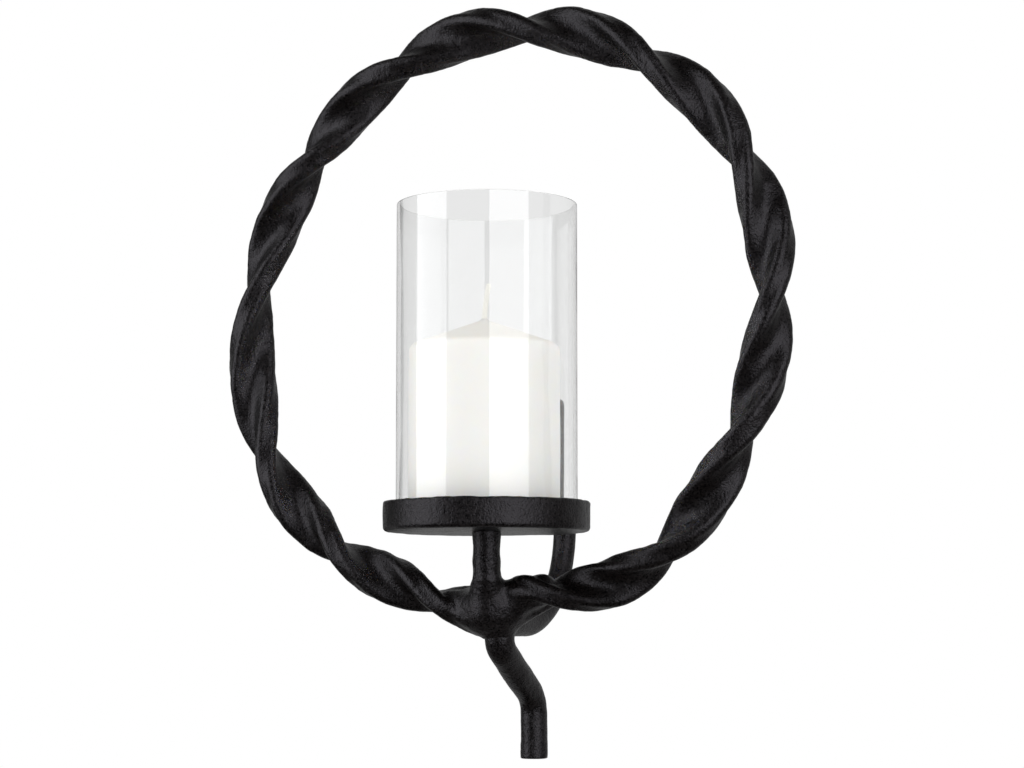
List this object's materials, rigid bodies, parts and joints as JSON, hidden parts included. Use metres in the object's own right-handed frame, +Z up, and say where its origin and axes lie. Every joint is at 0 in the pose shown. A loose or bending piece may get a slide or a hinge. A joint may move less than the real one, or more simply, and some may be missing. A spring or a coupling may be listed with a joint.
{
  "type": "wall sconce candle holder",
  "caption": "Black iron wall sconce: a twisted ring round a tray that holds a pillar candle in an open glass cylinder, on a bent rod arm screwed to the wall.",
  "frame": {"origin": "on the wall plane, midway between the two wall screw holes", "axes": "+Z up, +Y into the wall, -Y out into the room, X along the wall; X = 0 is the middle plane"},
  "size_m": [0.3146, 0.1517, 0.3829],
  "materials": {
    "black_iron": "matte black coat over a sandy casting",
    "screw_steel": "plain zinc-plated",
    "clear_glass": "clear, fire-polished rims",
    "white_wax": "smooth wax, slightly translucent",
    "wick_cotton": "braided cotton, waxed"
  },
  "bodies": {
    "iron_frame": {"twisted_ring": "black_iron", "stem_hub": "black_iron", "tail": "black_iron", "wall_arm": "black_iron", "tray": "black_iron", "tray_screw": "screw_steel"},
    "glass": {"glass_cylinder": "clear_glass"},
    "candle": {"candle": "white_wax", "wick": "wick_cotton"}
  },
  "joints": [
    {"name": "glass_lift", "type": "slide", "parent": "iron_frame", "child": "glass", "axis": [0, 0, 1], "range_m": [0, 0.05]},
    {"name": "candle_lift", "type": "slide", "parent": "iron_frame", "child": "candle", "axis": [0, 0, 1], "range_m": [0, 0.09]}
  ]
}
